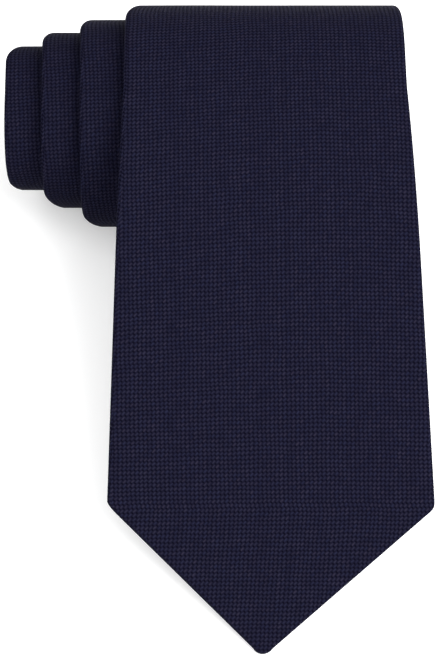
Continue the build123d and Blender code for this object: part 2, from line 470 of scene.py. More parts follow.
# ------------------------------------------------------------------------------- cloth strips
@dataclass
class Strip:
    """A folded strip of cloth: two faces and two rounded folded edges.

    It is made flat first, as (x, distance, -depth) in millimetres, so that cuts and hems stay
    simple, and is then bent to its place.
    """

    stations: Sequence[float]
    half_width: Callable[[float], float]
    thickness: float = 1.8
    column: float = 2.2
    edge_steps: int = 6
    end_round: float = 0.0
    rim: tuple[float, ...] = (0.0, 0.02, 0.05)
    least_run: float = 0.3
    least_tightness: float = 0.12

    def section(self) -> list[Triple]:
        """The outline of the strip's cross section.

        Returns:
            Points round it as (side from -1 to 1, 1 on a folded edge, angle).
        """
        count = max(4, round(2.0 * self.half_width(self.stations[len(self.stations) // 2])
                             / self.column))
        last = self.rim[-1]
        inner = [last + (1.0 - 2.0 * last) * i / count for i in range(1, count)]
        shares = [*self.rim, *inner, *(1.0 - r for r in reversed(self.rim))]
        ring: list[Triple] = []
        for side, start in ((1.0, math.pi / 2.0), (-1.0, -math.pi / 2.0)):
            ring += [(side * (2.0 * share - 1.0), 0.0, start) for share in shares]
            ring += [(side, 1.0, start - math.pi * i / self.edge_steps)
                     for i in range(1, self.edge_steps)]
        return ring

    def flat(self) -> bmesh.types.BMesh:
        """The flat strip with its cloth coordinates in the UV map.

        Returns:
            A mesh whose points are (x, distance, -depth) in millimetres.
        """
        ring = self.section()
        columns, rows = len(ring), len(self.stations)
        bm = bmesh.new()
        bmesh.ops.create_grid(bm, x_segments=columns, y_segments=rows - 1, size=0.5,
                              calc_uvs=False)
        uv = bm.loops.layers.uv.new("cloth")
        spots: dict[bmesh.types.BMVert, tuple[int, int]] = {}
        for vert in bm.verts:
            spots[vert] = (round((vert.co.x + 0.5) * columns),
                           round((vert.co.y + 0.5) * (rows - 1)))
        for face in bm.faces:
            for loop in face.loops:
                column, row = spots[loop.vert]
                loop[uv].uv = self.cloth_point(ring, column, self.stations[row])
        for vert, (column, row) in spots.items():
            vert.co = self.section_point(ring[column % columns], self.stations[row])
        bmesh.ops.remove_doubles(bm, verts=bm.verts, dist=1e-5)
        ends = [edge for edge in bm.edges if edge.is_boundary]
        for cap in bmesh.ops.holes_fill(bm, edges=ends, sides=0)["faces"]:
            for edge in cap.edges:
                edge.smooth = False
        bmesh.ops.recalc_face_normals(bm, faces=bm.faces)
        return bm

    def tightness(self, distance: float) -> float:
        """The share of the thickness left close to a rounded end.

        Args:
            distance: The place along the strip.

        Returns:
            A share of 1, or less close to the end.
        """
        if self.end_round <= 0.0:
            return 1.0
        near = distance - self.stations[0]
        radius = self.end_round
        if near >= radius:
            return 1.0
        return max(self.least_tightness, math.sqrt(max(0.0, 1.0 - (1.0 - near / radius) ** 2)))

    def section_point(self, spot: Triple, distance: float) -> Vector:
        """One point of the section.

        Args:
            spot: The point's side, edge part and angle, from section().
            distance: The place along the strip.

        Returns:
            The point (x, distance, -depth).
        """
        side, edge, angle = spot
        half = self.half_width(distance)
        radius = 0.5 * self.thickness * self.tightness(distance)
        run = max(half - radius, half * self.least_run)
        x = side * run
        if edge:
            x += side * (half - run) * abs(math.cos(angle))
        return Vector((x, distance, -0.5 * self.thickness + radius * math.sin(angle)))

    def cloth_point(self, ring: Sequence[Triple], column: int,
                    distance: float) -> Pair:
        """The cloth's own coordinates, unrolled round the section.

        Args:
            ring: The section's points, from section().
            column: Which of them, or their number for the seam's far side.
            distance: The place along the strip.

        Returns:
            Millimetres across and along.
        """
        half = self.half_width(distance)
        radius = 0.5 * self.thickness
        run = max(half - radius, half * self.least_run)
        whole = 2.0 * (2.0 * run + math.pi * radius)
        if column >= len(ring):
            return whole - run, distance
        side, edge, angle = ring[column]
        if not edge:
            if angle > 0.0:
                return side * run, distance
            return 3.0 * run + math.pi * radius - (1.0 + side) * run, distance
        turned = abs(angle - (math.pi / 2.0 if side > 0.0 else -math.pi / 2.0)) * radius
        return (run + turned if side > 0.0 else 3.0 * run + math.pi * radius + turned), distance

    def bend(self, bm: bmesh.types.BMesh, place: Place) -> None:
        """Carry every point of the flat strip to its place."""
        for vert in bm.verts:
            vert.co = place(vert.co.x, vert.co.y, -vert.co.z)


def make_piece(name: str, bm: bmesh.types.BMesh, material: bpy.types.Material) -> bpy.types.Object:
    """Close a mesh into a named, smooth-shaded object.

    Args:
        name: The object's plain name.
        bm: The finished mesh, in metres.
        material: Its material.

    Returns:
        The new object, unparented, at the origin.
    """
    bmesh.ops.recalc_face_normals(bm, faces=bm.faces)
    for face in bm.faces:
        face.smooth = len(face.verts) < 10
    mesh = bpy.data.meshes.new(name)
    bm.to_mesh(mesh)
    bm.free()
    mesh.materials.append(material)
    piece = bpy.data.objects.new(name, mesh)
    bpy.context.scene.collection.objects.link(piece)
    LOG.info("%s: %d faces", name, len(mesh.polygons))
    return piece


# ---------------------------------------------------------------------------------- finishes
@dataclass(frozen=True)
class Wire:
    """A node's output, which takes part in sums like a number."""

    bench: "NodeBench"
    socket: bpy.types.NodeSocket

    def __add__(self, other: "Wire | float") -> "Wire":
        """This plus the other."""
        return self.bench.math("ADD", self, other)

    def __sub__(self, other: "Wire | float") -> "Wire":
        """This less the other."""
        return self.bench.math("SUBTRACT", self, other)

    def __rsub__(self, other: float) -> "Wire":
        """A number less this."""
        return self.bench.math("SUBTRACT", other, self)

    def __mul__(self, other: "Wire | float") -> "Wire":
        """This times the other."""
        return self.bench.math("MULTIPLY", self, other)

    def __truediv__(self, other: "Wire | float") -> "Wire":
        """This over the other."""
        return self.bench.math("DIVIDE", self, other)

    def __pow__(self, other: float) -> "Wire":
        """This raised to a power."""
        return self.bench.math("POWER", self, other)


class NodeBench:
    """A small workbench for one material's nodes."""

    gloss_tint: Colour = (0.45, 0.43, 0.80)
    sheen_roughness: float = 0.35

    def __init__(self, name: str) -> None:
        """Start an empty material.

        Args:
            name: The material's name.
        """
        self.material = bpy.data.materials.new(name)
        self.material.use_nodes = True
        self.tree = self.material.node_tree
        self.tree.nodes.clear()
        self.output = self.tree.nodes.new("ShaderNodeOutputMaterial")

    def node(self, kind: str, inputs: dict | None = None, **settings: str) -> bpy.types.Node:
        """Add a node, set its properties and feed its inputs.

        Args:
            kind: The node's type.
            inputs: A wire or a value for each input, by its name or number.
            **settings: The node's properties.

        Returns:
            The new node.
        """
        made = self.tree.nodes.new(kind)
        for key, value in settings.items():
            setattr(made, key, value)
        for key, value in (inputs or {}).items():
            if isinstance(value, Wire):
                self.tree.links.new(value.socket, made.inputs[key])
            else:
                made.inputs[key].default_value = value
        return made

    def wire(self, node: bpy.types.Node, output: int | str = 0) -> Wire:
        """One output of a node."""
        return Wire(self, node.outputs[output])

    def math(self, operation: str, *values: Wire | float) -> Wire:
        """One sum of wires and numbers."""
        return self.wire(self.node("ShaderNodeMath", dict(enumerate(values)),
                                   operation=operation))

    def rise(self, value: Wire, low: float, high: float) -> Wire:
        """A smooth step.

        Args:
            value: What the step follows.
            low: Where it is 0; this may be the greater of the two.
            high: Where it is 1.

        Returns:
            The step, from 0 to 1.
        """
        ends = (0.0, 1.0) if low < high else (1.0, 0.0)
        return self.wire(self.node(
            "ShaderNodeMapRange",
            {"Value": value, "From Min": min(low, high), "From Max": max(low, high),
             "To Min": ends[0], "To Max": ends[1]}, interpolation_type="SMOOTHSTEP"), "Result")

    def blend(self, share: Wire, first: Wire | Colour, second: Wire | Colour) -> Wire:
        """A colour between two colours.

        Args:
            share: How far from the first to the second.
            first: The colour at 0.
            second: The colour at 1.

        Returns:
            The colour.
        """
        first, second = (end if isinstance(end, Wire) else (*end, 1.0)
                         for end in (first, second))
        return self.wire(self.node("ShaderNodeMix", {0: share, 6: first, 7: second},
                                   data_type="RGBA"), 2)

    def cloth(self) -> tuple[Wire, Wire]:
        """The cloth's own coordinates in millimetres, across and along."""
        split = self.node("ShaderNodeSeparateXYZ",
                          {0: self.wire(self.node("ShaderNodeUVMap", uv_map="cloth"))})
        return self.wire(split, 0), self.wire(split, 1)

    def joined(self, x: Wire, y: Wire, z: Wire | float = 0.0) -> Wire:
        """Three values as one vector."""
        return self.wire(self.node("ShaderNodeCombineXYZ", {0: x, 1: y, 2: z}))

    def noise(self, place: Wire, scale: float, detail: float = 2.0) -> Wire:
        """Soft noise at a place."""
        return self.wire(self.node("ShaderNodeTexNoise", {"Vector": place, "Scale": scale,
                                                          "Detail": detail}))

    def finish(self, colour: Wire, height: Wire, depth_mm: float, roughness: Wire | float,
               sheen: float, sheen_tint: Colour, specular: float,
               turn: float = 0.0) -> bpy.types.Material:
        """Close the material with a cloth surface.

        Args:
            colour: Base colour.
            height: Relief from 0 to 1.
            depth_mm: The relief's height in millimetres.
            roughness: Roughness.
            sheen: Weight of the fibres' sheen.
            sheen_tint: The sheen's colour.
            specular: Specular level.
            turn: How far the gloss is drawn out along the threads.

        Returns:
            The finished material.
        """
        bump = self.node("ShaderNodeBump", {"Height": height, "Strength": 1.0,
                                            "Distance": depth_mm * MM})
        skin = self.node("ShaderNodeBsdfPrincipled", {
            "Normal": self.wire(bump), "Roughness": roughness, "Base Color": colour,
            "Sheen Weight": sheen, "Sheen Roughness": self.sheen_roughness,
            "Sheen Tint": (*sheen_tint, 1.0), "Specular IOR Level": specular,
            "Specular Tint": (*self.gloss_tint, 1.0), "Anisotropic": turn})
        return self.close(skin)

    def close(self, skin: bpy.types.Node) -> bpy.types.Material:
        """Lead a surface to the material's output."""
        self.tree.links.new(skin.outputs[0], self.output.inputs[0])
        return self.material


@dataclass(frozen=True)
class BasketSilk:
    """Navy silk in a small square basket weave with a pinhole at each crossing."""

    pitch_across: float = 1.072
    pitch_along: float = 1.085
    pinhole: Colour = (0.0026, 0.0024, 0.0063)
    ground: Colour = (0.0058, 0.0056, 0.0140)
    raised: Colour = (0.0133, 0.0132, 0.0266)
    bluest: Colour = (0.0108, 0.0118, 0.0275)
    warmest: Colour = (0.0162, 0.0144, 0.0270)
    relief: float = 0.16
    stroke_long: float = 0.60
    stroke_wide: float = 0.26
    stroke_wobble: float = 0.12
    strands: float = 46.0
    hole_long: float = 0.47
    hole_wide: float = 0.27
    sway: float = 0.7
    jog: float = 0.30
    # painted shade: how much darker the cloth inside the roll is drawn, and the distances along the
    # cloth over which that darkening sets in
    roll_painted_shade: float = 0.06
    painted_shade_from: float = 200.0
    painted_shade_to: float = 250.0
    bow: float = 1.9
    bow_turn: float = 0.038
    bow_middle: float = 17.0
    bow_from: float = 10.0
    bow_to: float = 110.0

    def squares(self, bench: NodeBench, place: Wire, u: Wire, v: Wire) -> tuple[Wire, Wire]:
        """Count the weave's squares, whose rows and columns are never quite straight.

        Args:
            bench: The material's bench.
            place: The cloth's coordinates as a vector.
            u: Millimetres across the cloth.
            v: Millimetres along it.

        Returns:
            Squares across and along.
        """
        sway = (bench.noise(place, 0.11) - 0.5) * self.sway
        jog = (bench.noise(place, 0.55) - 0.5) * self.jog
        # the rows of the cloth are a little bowed, less so near the blade's point
        arch = bench.math("COSINE", (u - self.bow_middle) * self.bow_turn)
        bow = arch * (bench.rise(v, self.bow_from, self.bow_to) * (-self.bow / self.pitch_along))
        return u / self.pitch_across + (sway + jog), v / self.pitch_along + bow + (sway - jog)

    def holes(self, bench: NodeBench, p: Wire, q: Wire) -> Wire:
        """A pinhole where four squares meet, drawn out across the raised threads.

        Args:
            bench: The material's bench.
            p: Squares across.
            q: Squares along.

        Returns:
            1 in a hole and 0 away from it.
        """
        dx, dy = bench.math("FRACT", p + 0.5) - 0.5, bench.math("FRACT", q + 0.5) - 0.5
        long = (dx - dy) * (DIAGONAL / self.hole_long)
        wide = (dx + dy) * (DIAGONAL / self.hole_wide)
        return bench.rise(bench.math("SQRT", long * long + wide * wide), 1.0, 0.40)

    def make(self, name: str) -> bpy.types.Material:
        """Draw the weave.

        Args:
            name: The material's name.

        Returns:
            The material.
        """
        bench = NodeBench(name)
        u, v = bench.cloth()
        place = bench.joined(u, v)
        p, q = self.squares(bench, place, u, v)
        x, y = bench.math("FRACT", p) - 0.5, bench.math("FRACT", q) - 0.5
        column = bench.math("FLOOR", p)
        chance = bench.node("ShaderNodeTexWhiteNoise",
                            {"Vector": bench.joined(column, bench.math("FLOOR", q))},
                            noise_dimensions="2D")
        hue = bench.wire(chance)
        fine = bench.wire(bench.node("ShaderNodeTexWhiteNoise", {"W": column},
                                     noise_dimensions="1D"))
        proud = bench.wire(bench.node("ShaderNodeSeparateColor", {0: bench.wire(chance, 1)}), 1)
        # the raised thread runs on the slant across each square
        slant = (x + y) * DIAGONAL + (hue - 0.5) * self.stroke_wobble
        cross = (x - y) * DIAGONAL
        oval = (slant / self.stroke_long) ** 2.0 + (cross / self.stroke_wide) ** 2.0
        thread = bench.rise(oval, 1.15, 0.10)
        hole = self.holes(bench, p, q)
        strand = (bench.math("SINE", cross * self.strands) + 1.0) * 0.5
        tint = bench.node("ShaderNodeValToRGB", {0: hue})
        ramp = tint.color_ramp
        ramp.interpolation = "LINEAR"
        ramp.elements[0].color = (*self.bluest, 1.0)
        ramp.elements[1].color = (*self.warmest, 1.0)
        ramp.elements.new(0.5).color = (*self.raised, 1.0)
        # columns, strands and single threads stand out unevenly
        lit = thread * (fine * 0.28 + 0.72) * (strand * 0.22 + 0.78) * (proud * 0.44 + 0.78)
        colour = bench.blend(lit, self.ground, bench.wire(tint))
        patch = bench.noise(place, 0.30, 4.0) * 0.48 + 0.76
        # painted shade: the tone patches are drawn a little darker from about 200 mm along the
        # cloth onwards, so the length inside the roll looks as if it lay in deeper shade
        patch *= 1.0 - bench.rise(v, self.painted_shade_from, self.painted_shade_to) * self.roll_painted_shade
        colour = bench.wire(bench.node(
            "ShaderNodeVectorMath", {0: colour, 1: bench.joined(patch, patch, patch)},
            operation="MULTIPLY"))
        colour = bench.blend(hole, colour, self.pinhole)
        height = thread * 0.55 + strand * 0.05 + hole * -0.34 + 0.42
        return bench.finish(colour, height, self.relief, hole * 0.3 + 0.50, 0.0,
                            (0.40, 0.40, 0.85), specular=0.004)


@dataclass(frozen=True)
class LiningSatin:
    """A fine twill or satin lining in one colour, with a woven border where it has a frame."""

    colour: Colour = (0.0055, 0.0062, 0.0190)
    light: Colour = (0.0125, 0.0140, 0.0360)
    rib: float = 0.42
    relief: float = 0.03
    roughness: float = 0.36
    frame: Pair | None = None
    border_light: float = 1.8

    def make(self, name: str) -> bpy.types.Material:
        """Draw the lining.

        Args:
            name: The material's name.

        Returns:
            The material.
        """
        bench = NodeBench(name)
        u, v = bench.cloth()
        wave = bench.math("SINE", (u + v) / self.rib * (2.0 * math.pi)) * 0.5 + 0.5
        soft = bench.noise(bench.joined(u * 6.0, v), 0.9)
        colour = bench.blend(wave * soft, self.colour, self.light)
        if self.frame:
            inside = bench.math("MINIMUM", self.frame[0] - bench.math("ABSOLUTE", u),
                                self.frame[1] - bench.math("ABSOLUTE", v))
            line = bench.rise(inside, 0.8, 0.95) * bench.rise(inside, 1.5, 1.35)
            colour = bench.blend(line, colour, tuple(self.border_light * c for c in self.light))
        return bench.finish(colour, wave + soft * 0.5, self.relief, self.roughness, 0.05,
                            (0.5, 0.5, 0.9), specular=0.22, turn=0.3)


@dataclass(frozen=True)
class BrushedWool:
    """The cream interlining, brushed on both faces."""

    colour: Colour = (0.56, 0.51, 0.42)
    dark: float = 0.72

    def make(self, name: str) -> bpy.types.Material:
        """Draw the wool.

        Args:
            name: The material's name.

        Returns:
            The material.
        """
        bench = NodeBench(name)
        u, v = bench.cloth()
        fibre = bench.noise(bench.joined(u * 3.0, v), 2.4, 6.0)
        colour = bench.blend(fibre, tuple(self.dark * c for c in self.colour), self.colour)
        return bench.finish(colour, fibre, 0.3, 0.9, 0.4, (1.0, 0.97, 0.9), specular=0.1)


@dataclass(frozen=True)
class TwistedThread:
    """Sewing thread with its twist."""

    colour: Colour = (0.020, 0.022, 0.058)
    dark: float = 0.55

    def make(self, name: str) -> bpy.types.Material:
        """Draw the thread.

        Args:
            name: The material's name.

        Returns:
            The material.
        """
        bench = NodeBench(name)
        place = bench.wire(bench.node("ShaderNodeTexCoord"), "Object")
        twist = bench.wire(bench.node(
            "ShaderNodeTexWave", {"Vector": place, "Scale": 900.0, "Distortion": 1.0},
            bands_direction="DIAGONAL"), "Fac")
        colour = bench.blend(twist, tuple(self.dark * c for c in self.colour), self.colour)
        return bench.finish(colour, twist, 0.06, 0.45, 0.05, (0.5, 0.5, 0.9), specular=0.2)


@dataclass(frozen=True)
class PaleTable:
    """The matt white surface under the tie, faintly lit from below."""

    colour: Colour = (0.92, 0.92, 0.92)
    glow: float = 0.18

    def make(self, name: str) -> bpy.types.Material:
        """Draw the surface.

        Args:
            name: The material's name.

        Returns:
            The material.
        """
        bench = NodeBench(name)
        return bench.close(bench.node("ShaderNodeBsdfPrincipled", {
            "Roughness": 0.8, "Base Color": (*self.colour, 1.0),
            "Emission Color": (1.0, 1.0, 1.0, 1.0), "Emission Strength": self.glow,
            "Specular IOR Level": 0.1}))


@dataclass
class Finishes:
    """The materials that several pieces share, each made once."""

    silk: bpy.types.Material = field(default_factory=lambda: BasketSilk().make("navy basket silk"))
    tipping: bpy.types.Material = field(default_factory=lambda: LiningSatin().make("tipping silk"))
    wool: bpy.types.Material = field(default_factory=lambda: BrushedWool().make("interlining wool"))
    thread: bpy.types.Material = field(default_factory=lambda: TwistedThread().make("navy thread"))

    def of(self, slot: Slot) -> bpy.types.Material:
        """The shared material of a slot."""
        return {Slot.SILK: self.silk, Slot.TIPPING: self.tipping, Slot.WOOL: self.wool,
                Slot.THREAD: self.thread}[slot]


# -------------------------------------------------------------------------------- small work
@dataclass
class Panel:
    """A flat patch of thin cloth with straight sides, laid on the tie."""

    name: str
    outline: Sequence[Pair]
    depth: float
    thickness: float = 0.12
    corner: float = 0.0
    cell: float = 3.0

    def build(self, place: Place, material: bpy.types.Material) -> bpy.types.Object:
        """Cut, thicken and bend the patch.

        Args:
            place: Where a point (x, distance, depth) goes.
            material: The patch's material.

        Returns:
            The new object.
        """
        bm = bmesh.new()
        verts = [bmesh.ops.create_vert(bm, co=(x, s, -self.depth))["vert"][0]
                 for x, s in self.outline]
        bmesh.ops.contextual_create(bm, geom=verts)
        if self.corner > 0.0:
            bmesh.ops.bevel(bm, geom=list(bm.verts), offset=self.corner, segments=4,
                            profile=0.5, affect="VERTICES", material=-1)
        xs = [x for x, _ in self.outline]
        ss = [s for _, s in self.outline]
        for values, normal in ((xs, (1.0, 0.0, 0.0)), (ss, (0.0, 1.0, 0.0))):
            for value in spread(min(values), max(values), self.cell)[1:-1]:
                geom = [*bm.verts, *bm.edges, *bm.faces]
                bmesh.ops.bisect_plane(bm, geom=geom, dist=1e-5,
                                       plane_co=[value * n for n in normal], plane_no=normal)
        centre = (0.5 * (min(xs) + max(xs)), 0.5 * (min(ss) + max(ss)))
        bmesh.ops.recalc_face_normals(bm, faces=bm.faces)
        bmesh.ops.solidify(bm, geom=list(bm.faces), thickness=self.thickness)
        uv = bm.loops.layers.uv.new("cloth")
        for face in bm.faces:
            for loop in face.loops:
                loop[uv].uv = (loop.vert.co.x - centre[0], loop.vert.co.y - centre[1])
        for vert in bm.verts:
            vert.co = place(vert.co.x, vert.co.y, -vert.co.z)
        return make_piece(self.name, bm, material)


@dataclass(frozen=True)
class StitchRow:
    """Stitches of one kind, evenly spaced; turn is measured from the tie's length."""

    count: int
    x: float
    distance: float
    depth: float
    length: float
    turn: float = 0.0
    step_x: float = 0.0
    step_distance: float = 0.0


@dataclass(frozen=True)
class Stitches:
    """Many short stitches in one piece of thread."""

    name: str
    node: str
    rows: tuple[StitchRow, ...]
    radius: float = 0.16
    fullness: float = 0.6
    bulge: float = 0.25

    def build(self, place: Place, material: bpy.types.Material) -> bpy.types.Object:
        """Make every stitch a slim rounded thread and bend it to its place.

        Args:
            place: Where a point (x, distance, depth) goes.
            material: The thread.

        Returns:
            The new object.
        """
        bm = bmesh.new()
        for row in self.rows:
            for step in range(row.count):
                self.stitch(bm, place, row, step)
        return make_piece(self.name, bm, material)

    def stitch(self, bm: bmesh.types.BMesh, place: Place, row: StitchRow, step: int) -> None:
        """Add one stitch.

        Args:
            bm: The mesh it is added to.
            place: Where a point (x, distance, depth) goes.
            row: The stitch's row.
            step: Its number in the row.
        """
        x = row.x + row.step_x * step
        distance = row.distance + row.step_distance * step
        sin, cos = math.sin(row.turn), math.cos(row.turn)
        for vert in bmesh.ops.create_uvsphere(bm, u_segments=8, v_segments=8,
                                              radius=1.0)["verts"]:
            cx, cy, cz = vert.co
            along = math.copysign(abs(cz) ** self.fullness, cz) * 0.5 * row.length
            side, rise = cx * self.radius, cy * self.radius
            bow = self.bulge * self.radius * math.cos(cz * math.pi / 2.0)
            vert.co = place(x + along * sin + side * cos, distance + along * cos - side * sin,
                            row.depth + rise + bow)


def cut_faces(bm: bmesh.types.BMesh, wanted: Callable[[bmesh.types.BMFace], bool],
              through: Pair, along: Pair, offset: float) -> None:
    """Cut chosen faces of a flat strip along a straight line.

    Args:
        bm: The flat strip.
        wanted: Says whether a face may be cut.
        through: A point (x, distance) on the line.
        along: The line's direction.
        offset: Millimetres to the left of the line.
    """
    faces = [face for face in bm.faces if wanted(face)]
    size = math.hypot(*along)
    normal = (-along[1] / size, along[0] / size)
    spot = (through[0] + normal[0] * offset, through[1] + normal[1] * offset, 0.0)
    geom = {item for face in faces for item in (*face.verts, *face.edges, face)}
    bmesh.ops.bisect_plane(bm, geom=list(geom), dist=1e-4, plane_co=spot,
                           plane_no=(normal[0], normal[1], 0.0))


# ------------------------------------------------------------------------------- assemblies
@dataclass
class Part:
    """What every sub-assembly shares."""

    draping: Draping
    finishes: Finishes
    hinge_start: Triple = (0.013, 0.066, 0.0546)
    hinge_end: Triple = (0.013, 0.035, 0.0546)
    cloth_thickness: float = 1.8
    wool_thickness: float = 0.6
    wool_setback: float = 3.0
    end_round: float = 0.9

    def settle(self, piece: bpy.types.Object, slot: Slot, node: str, body: Body | None) -> None:
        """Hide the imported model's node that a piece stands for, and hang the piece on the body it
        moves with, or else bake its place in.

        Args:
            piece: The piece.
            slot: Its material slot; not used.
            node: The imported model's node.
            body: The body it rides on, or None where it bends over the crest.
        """
        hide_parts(node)
        if body:
            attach(piece, body.value)
        else:
            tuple(self.hinge_start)
            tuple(self.hinge_end)
            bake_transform(piece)

    def declare(self, piece: bpy.types.Object, width: float, length: float, held: str,
                area: float | None = None, rests_on: Sequence[str] = ()) -> None:
        """Turn a sheet's flat width and area from millimetres into metres, and keep neither."""
        width * MM
        None if area is None else area * MM * MM

    def wool(self, first: float, last: float, half_width: Callable[[float], float],
             step: float = 2.2, column: float = 6.0) -> Strip:
        """A strip of interlining between two distances."""
        return Strip(spread(first, last, step), half_width, self.wool_thickness, column,
                     edge_steps=2)

    def sew(self, name: str, strip: Strip, place: Place, slot: Slot, node: str,
            body: Body | None, width: float, held: str = "laid", rests_on: Sequence[str] = (),
            carve: Callable[[bmesh.types.BMesh], None] | None = None) -> None:
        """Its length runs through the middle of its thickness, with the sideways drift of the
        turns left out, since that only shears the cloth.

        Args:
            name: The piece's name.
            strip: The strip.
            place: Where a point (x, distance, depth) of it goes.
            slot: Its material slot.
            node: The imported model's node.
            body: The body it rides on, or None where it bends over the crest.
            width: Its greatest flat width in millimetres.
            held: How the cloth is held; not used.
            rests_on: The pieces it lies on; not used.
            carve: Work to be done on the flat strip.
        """
        bm = strip.flat()
        if carve:
            carve(bm)
        strip.bend(bm, place)
        piece = make_piece(name, bm, self.finishes.of(slot))
        self.settle(piece, slot, node, body)
        rows = strip.stations
        line = [place(0.0, distance, 0.5 * strip.thickness) for distance in rows]
        steps = [math.hypot(b.y - a.y, b.z - a.z) / MM for a, b in zip(line, line[1:])]
        area = sum(step * (strip.half_width(a) + strip.half_width(b))
                   for step, a, b in zip(steps, rows, rows[1:]))
        self.declare(piece, width, sum(steps), held, area, rests_on)


@dataclass
class WideBlade(Part):
    """The wide blade from its point, over the crest, and on round the roll."""

    tip_radius: float = 3.0
    corner_blend: float = 1.8
    hand_over: float = 222.0
    kite: tuple[float, float, float, float] = (66.0, 27.0, 36.0, 16.0)
    kite_margin: float = 4.0
    seam_margin: float = 2.0
    seam_reach: float = 6.0
    tipping_recess: float = 0.45
    seam_recess: float = 0.42
    hem_half: float = 0.16
    seam_half: float = 0.5
    wool_margin: float = 2.5
    wool_foot: float = 14.0
    wool_width: float = 77.0
    wool_depth: float = 0.45
    lining_size: Pair = (59.2, 56.0)
    lining_depth: float = 1.40

    def outline(self, distance: float) -> float:
        """Half the blade's width, with its rounded point and corners.

        Args:
            distance: Millimetres from the blade's point.

        Returns:
            Half the width in millimetres.
        """
        cut = self.draping.cut
        slope = cut.corner_half_width / (cut.corner_distance + cut.tip_back)
        return point_half(distance, slope * (distance + cut.tip_back), cut.half_width(distance),
                          self.corner_blend, self.tip_radius)

    def stations(self) -> list[float]:
        """Lay rows along the front blade, closer together at the point and corners.

        Returns:
            Their distances from the point.
        """
        rows = [*TIP_ROWS, *spread(5.6, 34.6, 1.6), *spread(35.5, 41.0, 0.5)]
        return rows + spread(42.4, 130.0, 1.9) + spread(131.2, self.hand_over, 1.1)

    def build_front(self) -> None:
        """The front blade's folded cloth, its hems and its interlining."""
        strip = Strip(self.stations(), self.outline, self.cloth_thickness,
                      end_round=self.end_round)
        self.sew("blade_front_cloth", strip, self.draping.place, Slot.SILK,
                 "blade_shell_front", None, 2.0 * self.draping.cut.corner_half_width,
                 rests_on=["tail_end_cloth"], carve=self.carve)
        wool = self.wool(self.wool_foot, self.hand_over, lambda d: max(
            1.0, self.outline(d - self.wool_setback) - self.wool_margin), 2.0, 5.0)
        self.sew("blade_front_interlining", wool, self.inner, Slot.WOOL,
                 "blade_interlining_front", None, self.wool_width)

    def inner(self, x: float, distance: float, depth: float) -> Vector:
        """Place a point of the interlining, inside the blade's first thickness of cloth."""
        return self.draping.place(x, distance, depth + self.wool_depth)

    def carve(self, bm: bmesh.types.BMesh) -> None:
        """Sink the lining's kite and the centre seam into the blade's back.

        Args:
            bm: The flat blade.
        """
        top, side, wide, foot = self.kite
        back = -self.cloth_thickness + 1e-3

        def in_kite(face: bmesh.types.BMFace) -> bool:
            """Whether a face of the back lies about as high as the kite."""
            middle = face.calc_center_median()
            return (middle.z < back
                    and foot - self.kite_margin < middle.y < top + self.kite_margin)

        def in_seam(face: bmesh.types.BMFace) -> bool:
            """Whether a face of the back lies along the centre seam."""
            middle = face.calc_center_median()
            return (middle.z < back and middle.y > top - self.seam_margin
                    and abs(middle.x) < self.seam_reach)

        for sign in (-1.0, 1.0):
            for first, last in (((0.0, top), (sign * side, wide)),
                                ((sign * side, wide), (0.0, foot))):
                along = (last[0] - first[0], last[1] - first[1])
                for offset in (-self.hem_half, self.hem_half):
                    cut_faces(bm, in_kite, first, along, offset)
        for offset in (-self.seam_half, 0.0, self.seam_half):
            cut_faces(bm, in_seam, (0.0, top), (0.0, 1.0), offset)
        for vert in bm.verts:
            x, distance, z = vert.co
            if z > back:
                continue
            upper = self.inside((0.0, top), (side, wide), x, distance)
            lower = self.inside((side, wide), (0.0, foot), x, distance)
            if min(upper, lower) > 0.1:
                vert.co.z += self.tipping_recess
            elif distance > top and abs(x) < 0.1:
                vert.co.z += self.seam_recess

    def inside(self, first: Pair, last: Pair,
               x: float, distance: float) -> float:
        """How far a point lies inside one of the kite's sides."""
        dx, ds = last[0] - first[0], last[1] - first[1]
        return (ds * (abs(x) - first[0]) - dx * (distance - first[1])) / math.hypot(dx, ds)

    def build_rolled(self) -> None:
        """The blade's length inside the roll."""
        seam, cut = self.draping.path.seam, self.draping.cut
        width = 2.0 * cut.half_width(self.hand_over)
        strip = Strip(spread(self.hand_over, seam, 1.0), cut.half_width, self.cloth_thickness)
        self.sew("blade_rolled_cloth", strip, self.draping.place, Slot.SILK,
                 "blade_shell_roll", Body.ROLL, width)
        wool = self.wool(self.hand_over, seam - 4.0,
                         lambda d: cut.half_width(d) - self.wool_margin)
        self.sew("blade_rolled_interlining", wool, self.inner, Slot.WOOL,
                 "blade_interlining_roll", Body.ROLL, width - 2.0 * self.wool_margin)

    def build_tipping(self) -> None:
        """The lining that shows between the hems."""
        top, side, wide, foot = self.kite
        width, length = self.lining_size
        panel = Panel("blade_lining", [(0.0, foot - 3.0), (0.5 * width, wide), (0.0, top + 3.0),
                                       (-0.5 * width, wide)], depth=self.lining_depth)
        piece = panel.build(self.draping.place, self.finishes.tipping)
        self.settle(piece, Slot.TIPPING, "blade_tipping", Body.FRONT)
        self.declare(piece, width, length, "laid", width * length / 2.0, ["blade_front_cloth"])


